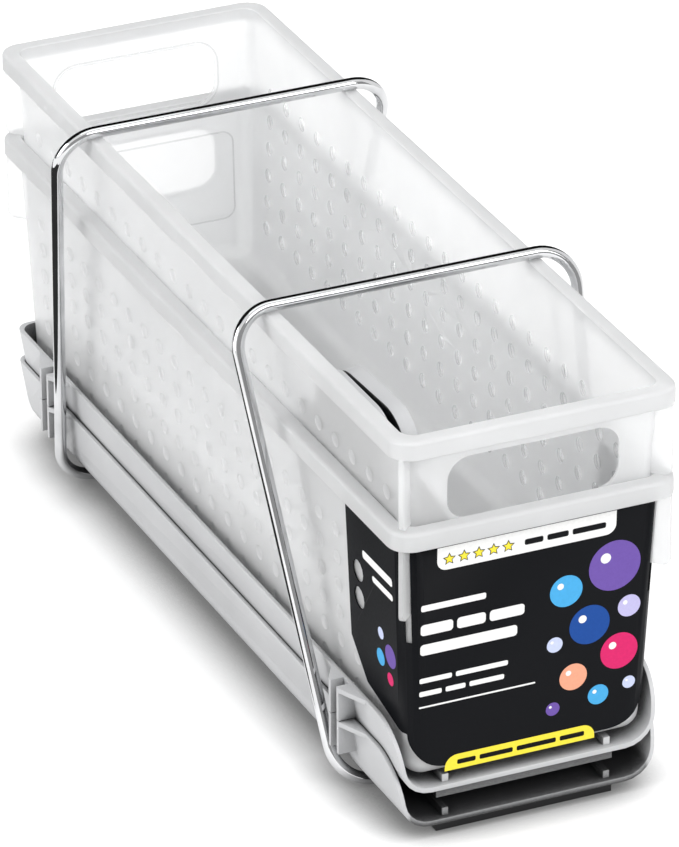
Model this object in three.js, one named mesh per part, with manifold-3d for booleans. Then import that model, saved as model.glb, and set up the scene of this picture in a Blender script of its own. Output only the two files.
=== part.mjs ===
// Two tier sliding organizer, knocked down and nested: two trays, two bins, two wire loops,
// two dividers and a card sleeve.  Millimetres, Z up.  X is the width, -Y is the front,
// and the origin is on the surface it stands on, under the middle of the bins.
import * as THREE from 'three';
import { mergeVertices } from 'three/addons/utils/BufferGeometryUtils.js';
import Module from 'manifold-3d';

const wasm = await Module();
wasm.setup();

// Clearances and cuts
const seat_gap = 0.3;
const cut_overrun = 4;

// Bins
const bin_rim_width = 114.5;
const bin_rim_length = 384;
const bin_rim_corner = 9;
const bin_rim_overhang = 5;
const bin_rim_skirt = 7.4;
const bin_rim_round = 1.6;
const bin_depth = 107.8;
const bin_wall = 1.2;
const bin_floor = 1.4;
const bin_body_corner = 7;
const bin_foot_round = 7;
const bin_draft = 2.5 * Math.PI / 180;
const nest_rise = 37;
const window_width = 69;
const window_height = 25.8;
const window_drop = 12.5;
const window_corner = 9;
const fin_thickness = 1.8;
const fin_corner = 3;
const fin_tip_inset = 0.3;

// Trays
const tray_width = 108;
const tray_length = 371;
const tray_set_back = 1.5;
const tray_height = 28.3;
const tray_wall = 1.6;
const tray_floor = 2;
const tray_draft = 7.9 * Math.PI / 180;
const tray_side_round = 12;
const tray_plan_round = 6;
const tray_nose_round = 19;
const tray_pitch = 14.2;
const foot_height = 5.2;
const foot_thickness = 4;
const foot_span = 72;
const foot_front_setback = 4;
const foot_rear_setback = 17;
const rail_height = 3;
const rail_thickness = 2.6;
const rail_spread = 66;
const rail_front_setback = 2.5;
const rail_rear_setback = 18;
const hook_spacing = 283;
const hook_slot = 5.3;
const hook_reach = 5.3;
const hook_plate = 1.8;
const hook_web = 2;
const hook_tail_inner = 9;
const hook_tail_outer = 12.6;

// Wire loops
const wire_diameter = 4.8;
const loop_top_width = 141.2;
const loop_bottom_width = 113;
const loop_top_corner = 15;
const loop_bottom_corner = 17;
const front_loop_foot_y = -138;
const front_loop_top_y = -73;
const rear_loop_foot_y = 134;
const rear_loop_top_y = 95;
const weld_gap = 0.8;
const weld_neck_diameter = 4.3;
const weld_neck_length = 5;

// Dividers
const divider_thickness = 6;
const divider_web = 1.4;
const divider_rim = 1.6;
const divider_top_width = 95;
const divider_bottom_width = 85;
const divider_body_height = 79;
const divider_height = 99.5;
const divider_corner = 7;
const divider_tab_width = 58;
const divider_tab_round = 15;
const divider_middle_y = -132.5;
const divider_turn = 2.2 * Math.PI / 180;

// Card sleeve
const card_thickness = 0.5;
const card_drop = 1.6;
const card_height = 94.5;
const card_flap_length = 51;
const card_flap_drop = 59;
const card_flap_slope_drop = 14;
const card_flap_slope_run = 13;
const card_flap_toe_drop = 80;
const card_front_corner = 15;
const card_slit_depth = 40;
const card_hole_diameter = 9;
const card_hole_from_edge = 9;
const card_hole_drop = 28;
const card_hole_pitch = 11.3;

// How finely round forms are cut
const corner_steps = 5;
const edge_steps = 3;
const wire_sides = 12;
const bend_steps = 6;

// Heights that follow from the sizes above
const wire_radius = wire_diameter / 2;
const lower_tray_z = foot_height;
const upper_tray_z = lower_tray_z + tray_pitch;
const outer_bin_z = upper_tray_z + tray_floor + rail_height + seat_gap;
const inner_bin_z = outer_bin_z + nest_rise;
const rim_top_z = inner_bin_z + bin_depth;
const body_half_width = bin_rim_width / 2 - bin_rim_overhang;
const body_half_length = bin_rim_length / 2 - bin_rim_overhang;
const draft_slope = Math.tan(bin_draft);
const fin_drop = nest_rise - seat_gap;

// A divider stands at the edge of the bin's flat floor and leans towards the wall as far as
// its plane clears the inner edge of the rim, because it is drawn out along that plane.
const inner_foot_half = body_half_width - (bin_depth - bin_floor) * draft_slope - bin_wall;
const divider_foot_offset = inner_foot_half - (bin_foot_round - bin_wall) - seat_gap;
const divider_lean = Math.atan2(
  body_half_width - bin_wall - seat_gap - divider_foot_offset,
  bin_depth - bin_floor - seat_gap,
);

// Geometry helpers

function solidOf(geometry) {
  let bare = geometry.clone();
  bare.deleteAttribute('normal');
  bare.deleteAttribute('uv');
  bare = mergeVertices(bare);
  return new wasm.Manifold(new wasm.Mesh({
    numProp: 3,
    vertProperties: new Float32Array(bare.attributes.position.array),
    triVerts: new Uint32Array(bare.index.array),
  }));
}

function geometryOf(solid) {
  const mesh = solid.getMesh();
  const geometry = new THREE.BufferGeometry();
  geometry.setAttribute('position', new THREE.BufferAttribute(mesh.vertProperties, 3));
  geometry.setIndex(new THREE.BufferAttribute(mesh.triVerts, 1));
  geometry.computeVertexNormals();
  return geometry;
}

// A plan outline: a rectangle with round corners, anticlockwise from its +X side.
function roundedOutline(halfX, halfY, radius) {
  const points = [];
  const corners = [[1, 1, 0], [-1, 1, 1], [-1, -1, 2], [1, -1, 3]];
  for (const [sideX, sideY, quarter] of corners) {
    for (let i = 0; i <= corner_steps; i += 1) {
      const angle = (quarter + i / corner_steps) * Math.PI / 2;
      points.push(new THREE.Vector2(
        sideX * (halfX - radius) + radius * Math.cos(angle),
        sideY * (halfY - radius) + radius * Math.sin(angle),
      ));
    }
  }
  return points;
}

// A closed body through a stack of plan outlines, each {outline, z}, capped at both ends.
function loft(levels) {
  const count = levels[0].outline.length;
  const positions = [];
  const faces = [];
  for (const { outline, z } of levels) {
    for (const point of outline) {
      positions.push(point.x, point.y, z);
    }
  }
  for (let level = 0; level + 1 < levels.length; level += 1) {
    for (let i = 0; i < count; i += 1) {
      const a = level * count + i;
      const b = level * count + (i + 1) % count;
      faces.push(a, b, b + count, a, b + count, a + count);
    }
  }
  const cap = THREE.ShapeUtils.triangulateShape(levels[0].outline, []);
  const last = (levels.length - 1) * count;
  for (const [a, b, c] of cap) {
    faces.push(a, c, b, last + a, last + b, last + c);
  }
  const geometry = new THREE.BufferGeometry();
  geometry.setAttribute('position', new THREE.Float32BufferAttribute(positions, 3));
  geometry.setIndex(faces);
  return geometry;
}

// A prism of a shape drawn in X and Z, running along Y from y0 to y1.
function prismAlongY(shape, y0, y1) {
  const geometry = new THREE.ExtrudeGeometry(shape, {
    depth: y1 - y0, bevelEnabled: false, curveSegments: corner_steps,
  });
  geometry.rotateX(Math.PI / 2);
  geometry.translate(0, y1, 0);
  return geometry;
}

// A prism of a shape drawn in Y and Z, running along X from x0 to x1.
function prismAlongX(shape, x0, x1) {
  const geometry = new THREE.ExtrudeGeometry(shape, {
    depth: x1 - x0, bevelEnabled: false, curveSegments: corner_steps,
  });
  geometry.rotateX(Math.PI / 2);
  geometry.rotateZ(Math.PI / 2);
  geometry.translate(x0, 0, 0);
  return geometry;
}

// A prism of a shape drawn in X and Y, rising from z0 to z1.
function prismAlongZ(shape, z0, z1) {
  const geometry = new THREE.ExtrudeGeometry(shape, {
    depth: z1 - z0, bevelEnabled: false, curveSegments: corner_steps,
  });
  geometry.translate(0, 0, z0);
  return geometry;
}

function block(x0, x1, y0, y1, z0, z1) {
  const geometry = new THREE.BoxGeometry(x1 - x0, y1 - y0, z1 - z0);
  geometry.translate((x0 + x1) / 2, (y0 + y1) / 2, (z0 + z1) / 2);
  return geometry;
}

function polygon(points) {
  return new THREE.Shape(points.map(([x, y]) => new THREE.Vector2(x, y)));
}

// Bins

// Half the body's width above half its length, at a depth under the rim's top.
function bodyOutline(depth, inset, radius) {
  const draw_in = depth * draft_slope + inset;
  return roundedOutline(body_half_width - draw_in, body_half_length - draw_in, radius);
}

function rimOutline(inset) {
  return roundedOutline(
    bin_rim_width / 2 - inset,
    bin_rim_length / 2 - inset,
    bin_rim_corner - inset,
  );
}

// The wall is walked from the middle of the underside, up the outside, round the turned-over
// rim and down the inside to the floor.
function binShell() {
  const levels = [];
  for (let i = 0; i <= edge_steps; i += 1) {
    const angle = i / edge_steps * Math.PI / 2;
    const inset = bin_foot_round * (1 - Math.sin(angle));
    const depth = bin_depth - bin_foot_round * (1 - Math.cos(angle));
    const radius = bin_body_corner - inset * (bin_body_corner - bin_wall) / bin_foot_round;
    levels.push({ outline: bodyOutline(depth, inset, radius), z: bin_depth - depth });
  }
  levels.push({ outline: bodyOutline(bin_wall, 0, bin_body_corner), z: bin_depth - bin_wall });
  levels.push({ outline: rimOutline(bin_wall), z: bin_depth - bin_wall });
  levels.push({ outline: rimOutline(bin_wall), z: bin_depth - bin_rim_skirt });
  levels.push({ outline: rimOutline(0), z: bin_depth - bin_rim_skirt });
  for (let i = 0; i <= edge_steps; i += 1) {
    const angle = i / edge_steps * Math.PI / 2;
    levels.push({
      outline: rimOutline(bin_rim_round * (1 - Math.cos(angle))),
      z: bin_depth - bin_rim_round * (1 - Math.sin(angle)),
    });
  }
  const inner_corner = bin_body_corner - bin_wall;
  const inner_round = bin_foot_round - bin_wall;
  levels.push({ outline: bodyOutline(0, bin_wall, inner_corner), z: bin_depth });
  for (let i = edge_steps; i >= 0; i -= 1) {
    const angle = i / edge_steps * Math.PI / 2;
    const inset = inner_round * (1 - Math.sin(angle));
    const depth = bin_depth - bin_floor - inner_round * (1 - Math.cos(angle));
    const radius = inner_corner - inset * (inner_corner - bin_wall) / inner_round;
    levels.push({ outline: bodyOutline(depth, bin_wall + inset, radius), z: bin_depth - depth });
  }
  return solidOf(loft(levels));
}

// A hand hole through both end walls.
function windowCutter() {
  const half = window_width / 2;
  const top = bin_depth - window_drop;
  const bottom = top - window_height;
  const shape = new THREE.Shape();
  shape.moveTo(-half + window_corner, bottom);
  shape.lineTo(half - window_corner, bottom);
  shape.absarc(half - window_corner, bottom + window_corner, window_corner, -Math.PI / 2, 0);
  shape.absarc(half - window_corner, top - window_corner, window_corner, 0, Math.PI / 2);
  shape.absarc(-half + window_corner, top - window_corner, window_corner, Math.PI / 2, Math.PI);
  shape.absarc(
    -half + window_corner, bottom + window_corner, window_corner, Math.PI, Math.PI * 3 / 2,
  );
  const reach = bin_rim_length / 2 + cut_overrun;
  return solidOf(prismAlongY(shape, -reach, reach));
}

// The stacking fin of one corner stands across the corner and hangs under the rim.  Its lower
// edge is the stop on which the nested bin rests on the rim of the bin below.
function finSolid(sideX, sideY) {
  const diagonal = Math.SQRT2 - 1;
  const body_x = body_half_width - bin_body_corner + bin_body_corner * Math.SQRT1_2;
  const body_y = body_half_length - bin_body_corner + bin_body_corner * Math.SQRT1_2;
  const reach = bin_rim_overhang * Math.SQRT2 - diagonal * (bin_rim_corner - bin_body_corner)
    - fin_tip_inset;
  const root = -bin_wall / 2;
  const top = bin_depth - bin_wall / 2;
  const bottom = bin_depth - fin_drop;
  const lean = fin_drop * draft_slope * Math.SQRT2;
  const shape = new THREE.Shape();
  shape.moveTo(root - lean, bottom);
  shape.lineTo(reach - fin_corner, bottom);
  shape.absarc(reach - fin_corner, bottom + fin_corner, fin_corner, -Math.PI / 2, 0);
  shape.lineTo(reach, top);
  shape.lineTo(root, top);
  const geometry = prismAlongY(shape, -fin_thickness / 2, fin_thickness / 2);
  geometry.rotateZ(Math.atan2(sideY, sideX));
  geometry.translate(sideX * body_x, sideY * body_y, 0);
  return solidOf(geometry);
}

function binGeometry() {
  let bin = binShell().subtract(windowCutter());
  for (const sideX of [-1, 1]) {
    for (const sideY of [-1, 1]) {
      bin = bin.add(finSolid(sideX, sideY));
    }
  }
  return geometryOf(bin);
}

// Trays

// How far a wall face stands in from the rim's outline at a height over the tray's underside.
function trayInset(height) {
  return (tray_height - height) * Math.tan(tray_draft);
}

// The space inside a tray face that lies inset from the outside: sloped side and rear walls
// that run into the floor in one round.  It runs past the open front end.
function trayBody(inset, lift, top) {
  const radius = tray_side_round - inset;
  const slope = Math.tan(tray_draft);
  const shift = inset / Math.cos(tray_draft);
  const centre = radius / Math.cos(tray_draft) + (tray_height - lift - radius) * slope;
  const half_x = tray_width / 2 - shift;
  const front = -tray_length / 2 - cut_overrun - tray_side_round;
  const rear = tray_length / 2 - shift;
  const middle = (front + rear) / 2;
  const level = (draw_in, z) => ({
    outline: roundedOutline(
      half_x - draw_in,
      (rear - front) / 2 - draw_in,
      tray_plan_round - draw_in * (tray_plan_round - tray_wall) / centre,
    ).map((point) => new THREE.Vector2(point.x, point.y + middle)),
    z,
  });
  const levels = [];
  for (let i = 0; i <= corner_steps; i += 1) {
    const angle = Math.PI / 2 + (tray_draft - Math.PI / 2) * i / corner_steps;
    levels.push(level(
      centre - radius * Math.cos(angle),
      lift + radius - radius * Math.sin(angle),
    ));
  }
  levels.push(level(trayInset(top), top));
  return solidOf(loft(levels));
}

// The tray seen from the side: a straight open front with round upper corners on both walls.
function traySideView() {
  const front = -tray_length / 2;
  const shape = new THREE.Shape();
  shape.moveTo(front, -cut_overrun);
  shape.lineTo(tray_length / 2 + cut_overrun, -cut_overrun);
  shape.lineTo(tray_length / 2 + cut_overrun, tray_height);
  shape.lineTo(front + tray_nose_round, tray_height);
  shape.absarc(
    front + tray_nose_round, tray_height - tray_nose_round, tray_nose_round,
    Math.PI / 2, Math.PI,
  );
  const reach = tray_width / 2 + cut_overrun;
  return solidOf(prismAlongX(shape, -reach, reach));
}

// One wire clip: two plates with the slot for the wire between them, each stiffened by a
// triangular web at the top.  side is -1 or 1 for the wall, end is -1 for the front pair.
function hookSolids(side, end) {
  const wall = tray_width / 2 - tray_wall / 2;
  const reach = tray_width / 2 + hook_reach;
  const middle = end * hook_spacing / 2;
  const bottom = tray_height - tray_pitch + seat_gap;
  const plate = polygon([
    [side * wall, tray_height], [side * reach, tray_height], [side * reach, bottom],
    [side * (wall - trayInset(bottom)), bottom],
  ]);
  const solids = [];
  for (const facing of [-1, 1]) {
    const tail = facing === end ? hook_tail_outer : hook_tail_inner;
    const near = middle + facing * hook_slot / 2;
    const far = near + facing * hook_plate;
    solids.push(solidOf(prismAlongY(plate, Math.min(near, far), Math.max(near, far))));
    const web = polygon([
      [side * wall, near], [side * reach, near], [side * reach, far],
      [side * tray_width / 2, far + facing * tail], [side * wall, far + facing * tail],
    ]);
    solids.push(solidOf(prismAlongZ(web, tray_height - hook_web, tray_height)));
  }
  return solids;
}

function trayGeometry() {
  const half = tray_length / 2;
  const outer = trayBody(0, 0, tray_height);
  const inner = trayBody(tray_wall, tray_floor, tray_height + cut_overrun);
  let tray = outer.subtract(inner).intersect(traySideView());
  for (const side of [-1, 1]) {
    for (const end of [-1, 1]) {
      for (const solid of hookSolids(side, end)) {
        tray = tray.add(solid);
      }
    }
    const rail = side * rail_spread / 2;
    tray = tray.add(solidOf(block(
      rail - rail_thickness / 2, rail + rail_thickness / 2,
      -half + rail_front_setback, half - rail_rear_setback,
      tray_floor / 2, tray_floor + rail_height,
    )));
  }
  for (const near of [-half + foot_front_setback, half - foot_rear_setback - foot_thickness]) {
    tray = tray.add(solidOf(block(
      -foot_span / 2, foot_span / 2, near, near + foot_thickness, -foot_height, tray_floor / 2,
    )));
  }
  return geometryOf(tray);
}

// Wire loops

// The centre line of a bent wire.  Its parameter counts the stations, so a straight run takes
// one step and each bend takes bend_steps.
class WirePath extends THREE.Curve {
  constructor(stations) {
    super();
    this.stations = stations;
  }

  at(t) {
    const place = Math.min(Math.max(t, 0), 1) * (this.stations.length - 1);
    const index = Math.min(Math.floor(place + 1e-9), this.stations.length - 2);
    return [this.stations[index], this.stations[index + 1], place - index];
  }

  getPoint(t, target = new THREE.Vector3()) {
    const [from, to, share] = this.at(t);
    return target.lerpVectors(from.point, to.point, share);
  }

  getTangent(t, target = new THREE.Vector3()) {
    const [from, to, share] = this.at(t);
    return target.lerpVectors(from.tangent, to.tangent, share).normalize();
  }

  getUtoTmapping(u) {
    return u;
  }
}

// A closed loop with four bends, broken at the middle of its lower bar where the ends are
// welded.  It stands in a plane through its lower bar.
function loopSolid(foot_y, top_y) {
  const foot = new THREE.Vector3(0, foot_y, wire_radius);
  const top = new THREE.Vector3(0, top_y, rim_top_z + seat_gap + wire_radius);
  const rise = top.clone().sub(foot);
  const height = rise.length();
  const up = rise.normalize();
  const across = new THREE.Vector3(1, 0, 0);
  const place = (x, h) => foot.clone().addScaledVector(across, x).addScaledVector(up, h);
  const corners = [
    { x: loop_bottom_width / 2, h: 0, radius: loop_bottom_corner },
    { x: loop_top_width / 2, h: height, radius: loop_top_corner },
    { x: -loop_top_width / 2, h: height, radius: loop_top_corner },
    { x: -loop_bottom_width / 2, h: 0, radius: loop_bottom_corner },
  ];
  const stations = [{ point: place(weld_gap / 2, 0), tangent: across.clone() }];
  corners.forEach((corner, index) => {
    const middle = new THREE.Vector2(corner.x, corner.h);
    const before = corners[(index + 3) % 4];
    const after = corners[(index + 1) % 4];
    const back = new THREE.Vector2(before.x, before.h).sub(middle).normalize();
    const ahead = new THREE.Vector2(after.x, after.h).sub(middle).normalize();
    const half_angle = Math.acos(back.dot(ahead)) / 2;
    const bisector = back.clone().add(ahead).normalize();
    const centre = middle.clone().addScaledVector(bisector, corner.radius / Math.sin(half_angle));
    const turn = Math.PI - 2 * half_angle;
    const start = middle.clone()
      .addScaledVector(back, corner.radius / Math.tan(half_angle)).sub(centre);
    for (let i = 0; i <= bend_steps; i += 1) {
      const angle = turn * i / bend_steps;
      const spoke = start.clone().rotateAround(new THREE.Vector2(), angle);
      const point = centre.clone().add(spoke);
      const heading = back.clone().negate().rotateAround(new THREE.Vector2(), angle);
      stations.push({
        point: place(point.x, point.y),
        tangent: across.clone().multiplyScalar(heading.x).addScaledVector(up, heading.y),
      });
    }
  });
  stations.push({ point: place(-weld_gap / 2, 0), tangent: across.clone() });
  const section = new THREE.Shape();
  for (let i = 0; i < wire_sides; i += 1) {
    const angle = (i + 1 / 2) / wire_sides * Math.PI * 2;
    const flat_radius = wire_radius / Math.cos(Math.PI / wire_sides);
    const x = flat_radius * Math.cos(angle);
    const y = flat_radius * Math.sin(angle);
    if (i === 0) {
      section.moveTo(x, y);
    } else {
      section.lineTo(x, y);
    }
  }
  const wire = new THREE.ExtrudeGeometry(section, {
    steps: stations.length - 1, bevelEnabled: false, extrudePath: new WirePath(stations),
  });
  const neck = new THREE.CylinderGeometry(
    weld_neck_diameter / 2, weld_neck_diameter / 2, weld_neck_length, wire_sides,
  );
  neck.rotateZ(Math.PI / 2);
  neck.translate(foot.x, foot.y, foot.z);
  return solidOf(wire).add(solidOf(neck));
}

// The part of a loop's top bar that lies over the bins, out to the outer wall of their rims.
function barSpan(widening) {
  const half = bin_rim_width / 2 - bin_wall + widening;
  return solidOf(block(
    -half, half, -bin_rim_length / 2, bin_rim_length / 2,
    rim_top_z - bin_rim_skirt, rim_top_z + wire_diameter + cut_overrun,
  ));
}

// The top bar is a node of its own, so that no collision hull runs round a bend and into the
// rim that slides under the bar.
function addLoop(name, foot_y, top_y) {
  const loop = loopSolid(foot_y, top_y);
  add(name, geometryOf(loop.subtract(barSpan(seat_gap))), chrome);
  add(`${name}_bar`, geometryOf(loop.intersect(barSpan(0))), chrome);
}

// Dividers

// The outline of a divider drawn in Y and Z: a tapered plate with a round-topped tab.
function dividerOutline(inset) {
  const top = divider_top_width / 2 - inset;
  const bottom = divider_bottom_width / 2 - inset;
  const radius = divider_corner - inset;
  const shoulder = divider_body_height - inset;
  const tab = divider_tab_width / 2 - inset;
  const tab_round = divider_tab_round - inset;
  const crown = divider_height - inset;
  const shape = new THREE.Shape();
  shape.moveTo(-bottom + radius, inset);
  shape.lineTo(bottom - radius, inset);
  shape.absarc(bottom - radius, inset + radius, radius, -Math.PI / 2, 0);
  shape.lineTo(top, shoulder - radius);
  shape.absarc(top - radius, shoulder - radius, radius, 0, Math.PI / 2);
  shape.lineTo(tab, shoulder);
  shape.lineTo(tab, crown - tab_round);
  shape.absarc(tab - tab_round, crown - tab_round, tab_round, 0, Math.PI / 2);
  shape.absarc(-tab + tab_round, crown - tab_round, tab_round, Math.PI / 2, Math.PI);
  shape.lineTo(-tab, shoulder);
  shape.absarc(-top + radius, shoulder - radius, radius, Math.PI / 2, Math.PI);
  shape.lineTo(-bottom, inset + radius);
  shape.absarc(-bottom + radius, inset + radius, radius, Math.PI, Math.PI * 3 / 2);
  return shape;
}

// A thin web inside a raised rim that follows the whole outline on both faces.
function dividerGeometry() {
  const half = divider_thickness / 2;
  const web = divider_web / 2;
  const plate = solidOf(prismAlongX(dividerOutline(0), -half, half));
  const hollow = dividerOutline(divider_rim);
  const left = solidOf(prismAlongX(hollow, -half - cut_overrun, -web));
  const right = solidOf(prismAlongX(hollow, web, half + cut_overrun));
  return geometryOf(plate.subtract(left).subtract(right));
}

// Card sleeve

// A card wrapped round the front of the lower bin's body: the front panel, both corners and
// one flap along each side, with slits for the two front fins.
function cardGeometry() {
  const depth_top = bin_rim_skirt + card_drop;
  const depth_bottom = depth_top + card_height;
  const band = (inset) => solidOf(loft([
    { outline: bodyOutline(depth_bottom, inset, bin_body_corner - inset),
      z: bin_depth - depth_bottom },
    { outline: bodyOutline(depth_top, inset, bin_body_corner - inset),
      z: bin_depth - depth_top },
  ]));
  let card = band(-seat_gap - card_thickness).subtract(
    solidOf(loft([
      { outline: bodyOutline(depth_bottom + cut_overrun, -seat_gap, bin_body_corner + seat_gap),
        z: bin_depth - depth_bottom - cut_overrun },
      { outline: bodyOutline(depth_top - cut_overrun, -seat_gap, bin_body_corner + seat_gap),
        z: bin_depth - depth_top + cut_overrun },
    ])),
  );
  const face = -body_half_length;
  const reach = bin_rim_length / 2 + cut_overrun;
  const top = bin_depth - depth_top;
  const flap_end = face + card_flap_length;
  const side_view = polygon([
    [-reach, top + cut_overrun], [flap_end, top + cut_overrun],
    [flap_end, top - card_flap_drop],
    [flap_end - card_flap_slope_run, top - card_flap_drop - card_flap_slope_drop],
    [face + bin_body_corner, top - card_flap_toe_drop],
    [face + bin_body_corner, top - card_height - cut_overrun],
    [-reach, top - card_height - cut_overrun],
  ]);
  card = card.intersect(solidOf(prismAlongX(side_view, -reach, reach)));
  const half = body_half_width + card_thickness + cut_overrun;
  const foot_half = body_half_width - depth_bottom * draft_slope;
  const bottom = bin_depth - depth_bottom;
  const front_view = new THREE.Shape();
  front_view.moveTo(-half, top + cut_overrun);
  front_view.lineTo(-half, bottom + card_front_corner);
  front_view.lineTo(-foot_half, bottom + card_front_corner);
  front_view.absarc(
    -foot_half + card_front_corner, bottom + card_front_corner, card_front_corner,
    Math.PI, Math.PI * 3 / 2,
  );
  front_view.absarc(
    foot_half - card_front_corner, bottom + card_front_corner, card_front_corner,
    -Math.PI / 2, 0,
  );
  front_view.lineTo(half, bottom + card_front_corner);
  front_view.lineTo(half, top + cut_overrun);
  card = card.intersect(solidOf(prismAlongY(front_view, -reach, reach)));
  for (const side of [-1, 1]) {
    const slit = block(
      -cut_overrun, bin_rim_overhang + cut_overrun,
      -fin_thickness / 2 - seat_gap, fin_thickness / 2 + seat_gap,
      top - card_slit_depth, top + cut_overrun,
    );
    slit.rotateZ(Math.atan2(-1, side));
    slit.translate(
      side * (body_half_width - bin_body_corner + bin_body_corner * Math.SQRT1_2),
      -(body_half_length - bin_body_corner + bin_body_corner * Math.SQRT1_2), 0,
    );
    card = card.subtract(solidOf(slit));
    for (const row of [0, 1]) {
      const hole = new THREE.CylinderGeometry(
        card_hole_diameter / 2, card_hole_diameter / 2, cut_overrun * 4, wire_sides,
      );
      hole.rotateZ(Math.PI / 2);
      hole.translate(
        side * body_half_width, flap_end - card_hole_from_edge,
        top - card_hole_drop - row * card_hole_pitch,
      );
      card = card.subtract(solidOf(hole));
    }
  }
  return geometryOf(card);
}

// Materials

const frosted = new THREE.MeshStandardMaterial({
  color: 0xe9ebec, roughness: 0.45, metalness: 0, transparent: true, opacity: 0.55,
});
const grey_plastic = new THREE.MeshStandardMaterial({
  color: 0xc6c7c8, roughness: 0.55, metalness: 0,
});
const chrome = new THREE.MeshStandardMaterial({
  color: 0xd6d8da, roughness: 0.12, metalness: 1,
});
const black_card = new THREE.MeshStandardMaterial({
  color: 0x17181a, roughness: 0.6, metalness: 0,
});

// Assembly

const group = new THREE.Group();

function add(name, geometry, material, parent = group) {
  const mesh = new THREE.Mesh(geometry, material.clone());
  mesh.name = name;
  parent.add(mesh);
  return mesh;
}

const tray_form = trayGeometry();
add('lower_tray', tray_form, grey_plastic).position.set(0, tray_set_back, lower_tray_z);
add('upper_tray', tray_form, grey_plastic).position.set(0, tray_set_back, upper_tray_z);

const bin_form = binGeometry();
add('outer_bin', bin_form, frosted).position.z = outer_bin_z;
add('inner_bin', bin_form, frosted).position.z = inner_bin_z;
add('card_sleeve', cardGeometry(), black_card).position.z = outer_bin_z;

addLoop('front_loop', front_loop_foot_y, front_loop_top_y);
addLoop('rear_loop', rear_loop_foot_y, rear_loop_top_y);

// Both dividers stand on the floor of the inner bin.  The outer one leans on its left wall.
// The inner one leans on the rear edge of the outer one and is turned away from it in front.
const divider_form = dividerGeometry();
const inner_shift = (divider_thickness + seat_gap) / Math.cos(divider_lean)
  + divider_top_width / 2 * Math.sin(divider_turn);
for (const [name, shift, turn] of [
  ['divider_outer', 0, 0], ['divider_inner', inner_shift, divider_turn],
]) {
  const divider = add(name, divider_form, grey_plastic);
  divider.rotation.set(0, -divider_lean, turn, 'ZYX');
  divider.position.set(
    -divider_foot_offset + divider_thickness / 2 * Math.cos(divider_lean) + shift,
    divider_middle_y,
    inner_bin_z + bin_floor + seat_gap + divider_thickness / 2 * Math.sin(divider_lean),
  );
}

export default group;
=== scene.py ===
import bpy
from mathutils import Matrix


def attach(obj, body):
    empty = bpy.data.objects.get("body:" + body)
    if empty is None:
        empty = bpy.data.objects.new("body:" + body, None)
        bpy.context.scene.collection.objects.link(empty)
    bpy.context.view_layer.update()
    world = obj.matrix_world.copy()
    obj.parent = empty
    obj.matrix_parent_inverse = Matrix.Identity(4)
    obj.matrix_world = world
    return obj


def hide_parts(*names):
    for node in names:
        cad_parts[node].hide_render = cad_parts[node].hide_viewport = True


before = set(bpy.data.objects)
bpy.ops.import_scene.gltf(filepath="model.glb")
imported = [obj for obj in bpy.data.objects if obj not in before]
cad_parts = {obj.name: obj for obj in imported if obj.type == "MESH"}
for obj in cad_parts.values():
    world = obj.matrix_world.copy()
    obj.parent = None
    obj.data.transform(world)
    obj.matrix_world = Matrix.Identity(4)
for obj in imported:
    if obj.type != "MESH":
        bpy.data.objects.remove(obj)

"""Looks of a two tier sliding organizer, knocked down and nested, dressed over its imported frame.

Lengths are millimetres in the dataclasses and metres in every mesh.  X is the width, -Y is
the front, Z is up, and the origin is on the floor under the middle of the bins.
"""
import logging
import math
from collections.abc import Callable, Sequence
from dataclasses import dataclass, field
from enum import Enum

import bmesh
import bpy
from mathutils import Matrix, Vector

log = logging.getLogger("organizer")
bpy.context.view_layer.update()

MM = 0.001
RIM_TOP = 169.5  # the inner bin's rim over the floor, millimetres
DRAFT = math.tan(math.radians(2.5))  # slope of the bins' walls
CORNER_STEPS = 10  # steps to a round corner of an outline
MERGE = 2e-6  # points nearer than this are one, metres
TAB_STEPS = 8  # steps to a round corner of a printed bar
DISC_SIDES = 48  # sides of a printed spot
STAR_NOTCH_SHARE = 0.48  # inner over outer radius of a printed star
Point2 = tuple[float, float]
Point3 = tuple[float, float, float]
Colour = tuple[float, float, float]
Place = Callable[[float, float, float], Point3]


class Body(Enum):
    """The moving bodies of the frame."""

    TRAYS = "trays"
    BINS = "bins"
    OUTER_DIVIDER = "outer_divider"
    INNER_DIVIDER = "inner_divider"
    FRONT_WIRE = "front_wire"
    REAR_WIRE = "rear_wire"


class Join(Enum):
    """How a tool changes a piece."""

    ADD = "UNION"
    CUT = "DIFFERENCE"


# Shader maths


class Value:
    """A shader socket that Python operators can work with."""

    def __init__(self, shader: "Shader", socket: bpy.types.NodeSocket) -> None:
        """Wraps a socket.

        Args:
            shader: The material being built.
            socket: The output socket to wrap.
        """
        self.shader = shader
        self.socket = socket

    def _with(self, operation: str, *others: "Value | float") -> "Value":
        """Adds one Math node.

        Args:
            operation: The Math node's operation.
            others: The values after this one.

        Returns:
            The node's result.
        """
        inputs = {0: self, **{i + 1: other for i, other in enumerate(others)}}
        return self.shader.node("ShaderNodeMath", {"operation": operation}, inputs)

    def __add__(self, other: "Value | float") -> "Value":
        """Sum."""
        return self._with("ADD", other)

    __radd__ = __add__

    def __mul__(self, other: "Value | float") -> "Value":
        """Product."""
        return self._with("MULTIPLY", other)

    __rmul__ = __mul__

    def __sub__(self, other: "Value | float") -> "Value":
        """Difference."""
        return self._with("SUBTRACT", other)

    def __rsub__(self, other: float) -> "Value":
        """Reflected difference."""
        return self._with("MULTIPLY_ADD", -1.0, other)

    def __abs__(self) -> "Value":
        """Size without its sign."""
        return self._with("ABSOLUTE")

    def around(self, middle: float, spread: float) -> "Value":
        """Noise brought to a spread about a middle."""
        return self * spread + (middle - spread / 2)


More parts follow.
